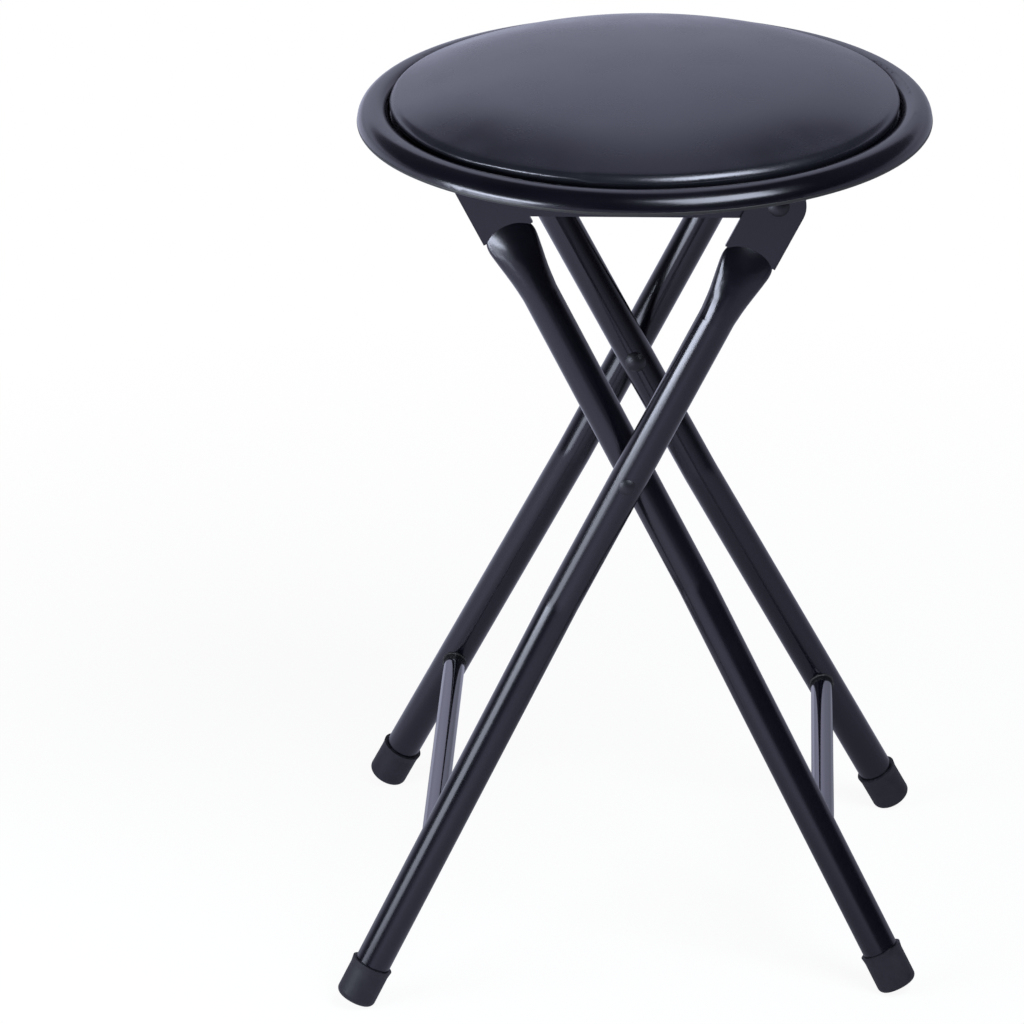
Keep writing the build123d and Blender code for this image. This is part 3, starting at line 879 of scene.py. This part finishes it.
def pale_floor(stage):
    """White floor that keeps the stool's shadow near its middle; in reflections its glow carries painted shade and
    a painted shadow under the stool.
    """
    r = stage.floor_radius
    material, shade = named_material("pale_floor")
    paper = shade.noise(shade.object_point(), 0.002, detail=3)
    ground = shade.add("BsdfDiffuse", {"Normal": shade.bump(paper, 0.00005)})
    ground.inputs["Color"].default_value = (*[0.97 * c for c in stage.floor_colour], 1)
    spot = shade.add("NewGeometry").outputs["Position"]
    across = shade.add("SeparateXYZ", {"Vector": spot}).outputs
    # Painted shade: in reflections the floor glows dimmer to the right and dimmer far ahead, blended towards black
    right = shade.span(across["X"], *FLOOR_SHADE_RIGHT)
    shade_ahead = shade.span(across["Y"], *FLOOR_SHADE_AHEAD)
    painted_shade = (0, 0, 0, 1)
    place = shade.add("VectorMath", operation="LENGTH")
    shade.feed(place.inputs[0], spot)
    # Painted shadow: in reflections the floor glows dimmer under the stool, where its shadow falls
    below = shade.span(place.outputs["Value"], *FLOOR_SHADOW_BELOW)
    level = shade.math("MULTIPLY", below, shade.math("MULTIPLY", right, shade_ahead))
    mirrored = shade.blend(level, painted_shade, (*stage.backdrop, 1))
    shown = shade.blend(shade.mirrored_ray(), (*stage.floor_colour, 1), mirrored)
    glow = shade.add("Emission", {"Color": shown, "Strength": 1.0})
    near = shade.span(place.outputs["Value"], *SHADOW_FADE, 1 - stage.shadow_share, 1.0)
    direct = shade.math("MAXIMUM", shade.add("LightPath").outputs["Is Camera Ray"], shade.mirrored_ray())
    share = shade.math("MULTIPLY", near, direct)
    mixed = shade.add("MixShader", {"Fac": share})
    shade.feed(mixed.inputs[1], ground.outputs["BSDF"])
    shade.feed(mixed.inputs[2], glow.outputs["Emission"])
    shade.add("OutputMaterial", {"Surface": mixed.outputs["Shader"]})
    floor = new_piece("floor", [(-r, -r, 0), (r, -r, 0), (r, r, 0), (-r, r, 0)], [(0, 1, 2, 3)], material)


def studio_world(stage):
    """White surroundings for the camera; in reflections a white backdrop behind and a dim room elsewhere."""
    world = bpy.data.worlds.new("studio")
    world.use_nodes = True
    bpy.context.scene.world = world
    shade = Shade(world.node_tree)
    way = shade.add("SeparateXYZ", {"Vector": shade.add("TexCoord").outputs["Generated"]}).outputs
    sideways = shade.math("MULTIPLY", shade.math("MULTIPLY", way["X"], way["X"]), WALL_NARROWING)
    height = shade.math("MULTIPLY", way["Z"], shade.math("ADD", sideways, 1.0))
    stops = [(place, [level * c for c in stage.backdrop]) for place, level in WALL_LEVELS]
    lit_wall = shade.ramp(height, stops)
    right = shade.span(way["X"], *WALL_RIGHT)
    behind = shade.math("MULTIPLY", right, shade.span(way["Y"], *WALL_BEHIND))
    room = shade.blend(behind, (*[stage.room * c for c in stage.backdrop], 1), lit_wall)
    white = shade.add("Background", {"Strength": 1.0})
    white.inputs["Color"].default_value = (*stage.floor_colour, 1)
    mirror = shade.add("Background", {"Color": room, "Strength": 1.0})
    fill = shade.add("Background", {"Strength": stage.fill_light})
    lit = shade.add("MixShader", {"Fac": shade.mirrored_ray()})
    shade.feed(lit.inputs[1], fill.outputs["Background"])
    shade.feed(lit.inputs[2], mirror.outputs["Background"])
    shown = shade.add("MixShader", {"Fac": shade.add("LightPath").outputs["Is Camera Ray"]})
    shade.feed(shown.inputs[1], lit.outputs["Shader"])
    shade.feed(shown.inputs[2], white.outputs["Background"])
    shade.add("OutputWorld", {"Surface": shown.outputs["Shader"]})


def soft_light(name, stage, power, azimuth, reach, height, size, aim):
    """Area light at a reach from the stool's axis, turned from the front, that faces a height on the axis."""
    data = bpy.data.lights.new(name, "AREA")
    data.shape = "RECTANGLE"
    data.size, data.size_y = size
    data.energy = power
    data.color = stage.lamp_colour
    a = math.radians(azimuth)
    place = Vector((reach * math.sin(a), -reach * math.cos(a), height))
    light = bpy.data.objects.new(name, data)
    light.location = place
    light.rotation_mode = "QUATERNION"
    light.rotation_quaternion = (place - Vector((0, 0, aim))).to_track_quat("Z", "Y")
    bpy.context.scene.collection.objects.link(light)


class STOOL_OT_stage(bpy.types.Operator):
    """Set the camera, floor, surroundings and lights"""

    bl_idname = "stool.stage"
    bl_label = "Set the Stage"

    def execute(self, context):
        stage = context.scene.stool_stage
        context.scene.view_settings.view_transform = "Standard"
        studio_camera(stage)
        pale_floor(stage)
        studio_world(stage)
        for name, place in LIGHT_PLACES.items():
            soft_light(name, stage, getattr(stage, name), *place)
        return {"FINISHED"}


class STOOL_PT_panel(bpy.types.Panel):
    """Steps and sizes of the stool in the sidebar"""

    bl_idname = "STOOL_PT_panel"
    bl_label = "Folding Stool"
    bl_space_type = "VIEW_3D"
    bl_region_type = "UI"
    bl_category = "Stool"

    def draw(self, context):
        for operator, group in STEPS:
            box = self.layout.box()
            box.operator(operator.bl_idname)
            values = getattr(context.scene, group)
            for name in values.bl_rna.properties.keys():
                if name not in ("rna_type", "name"):
                    box.prop(values, name)


STEPS = (
    (STOOL_OT_finishes, "stool_finish"),
    (STOOL_OT_cushion, "stool_cushion"),
    (STOOL_OT_welds, "stool_welds"),
    (STOOL_OT_hem, "stool_hem"),
    (STOOL_OT_stage, "stool_stage"),
)
GROUPS = {
    "stool_finish": StoolFinish,
    "stool_cushion": StoolCushion,
    "stool_welds": StoolWelds,
    "stool_hem": StoolHem,
    "stool_stage": StoolStage,
}


def register():
    """Make the groups, operators and panel known to Blender."""
    for name, group in GROUPS.items():
        bpy.utils.register_class(group)
        setattr(bpy.types.Scene, name, PointerProperty(type=group))
    for operator, _ in STEPS:
        bpy.utils.register_class(operator)
    bpy.utils.register_class(STOOL_PT_panel)


def unregister():
    """Take them out again."""
    bpy.utils.unregister_class(STOOL_PT_panel)
    for operator, _ in STEPS:
        bpy.utils.unregister_class(operator)
    for name, group in GROUPS.items():
        delattr(bpy.types.Scene, name)
        bpy.utils.unregister_class(group)


def main():
    """Build everything in order."""
    register()
    bpy.ops.stool.finishes()
    bpy.ops.stool.cushion()
    bpy.ops.stool.welds()
    bpy.ops.stool.hem()
    bpy.ops.stool.stage()


if __name__ == "__main__":
    main()
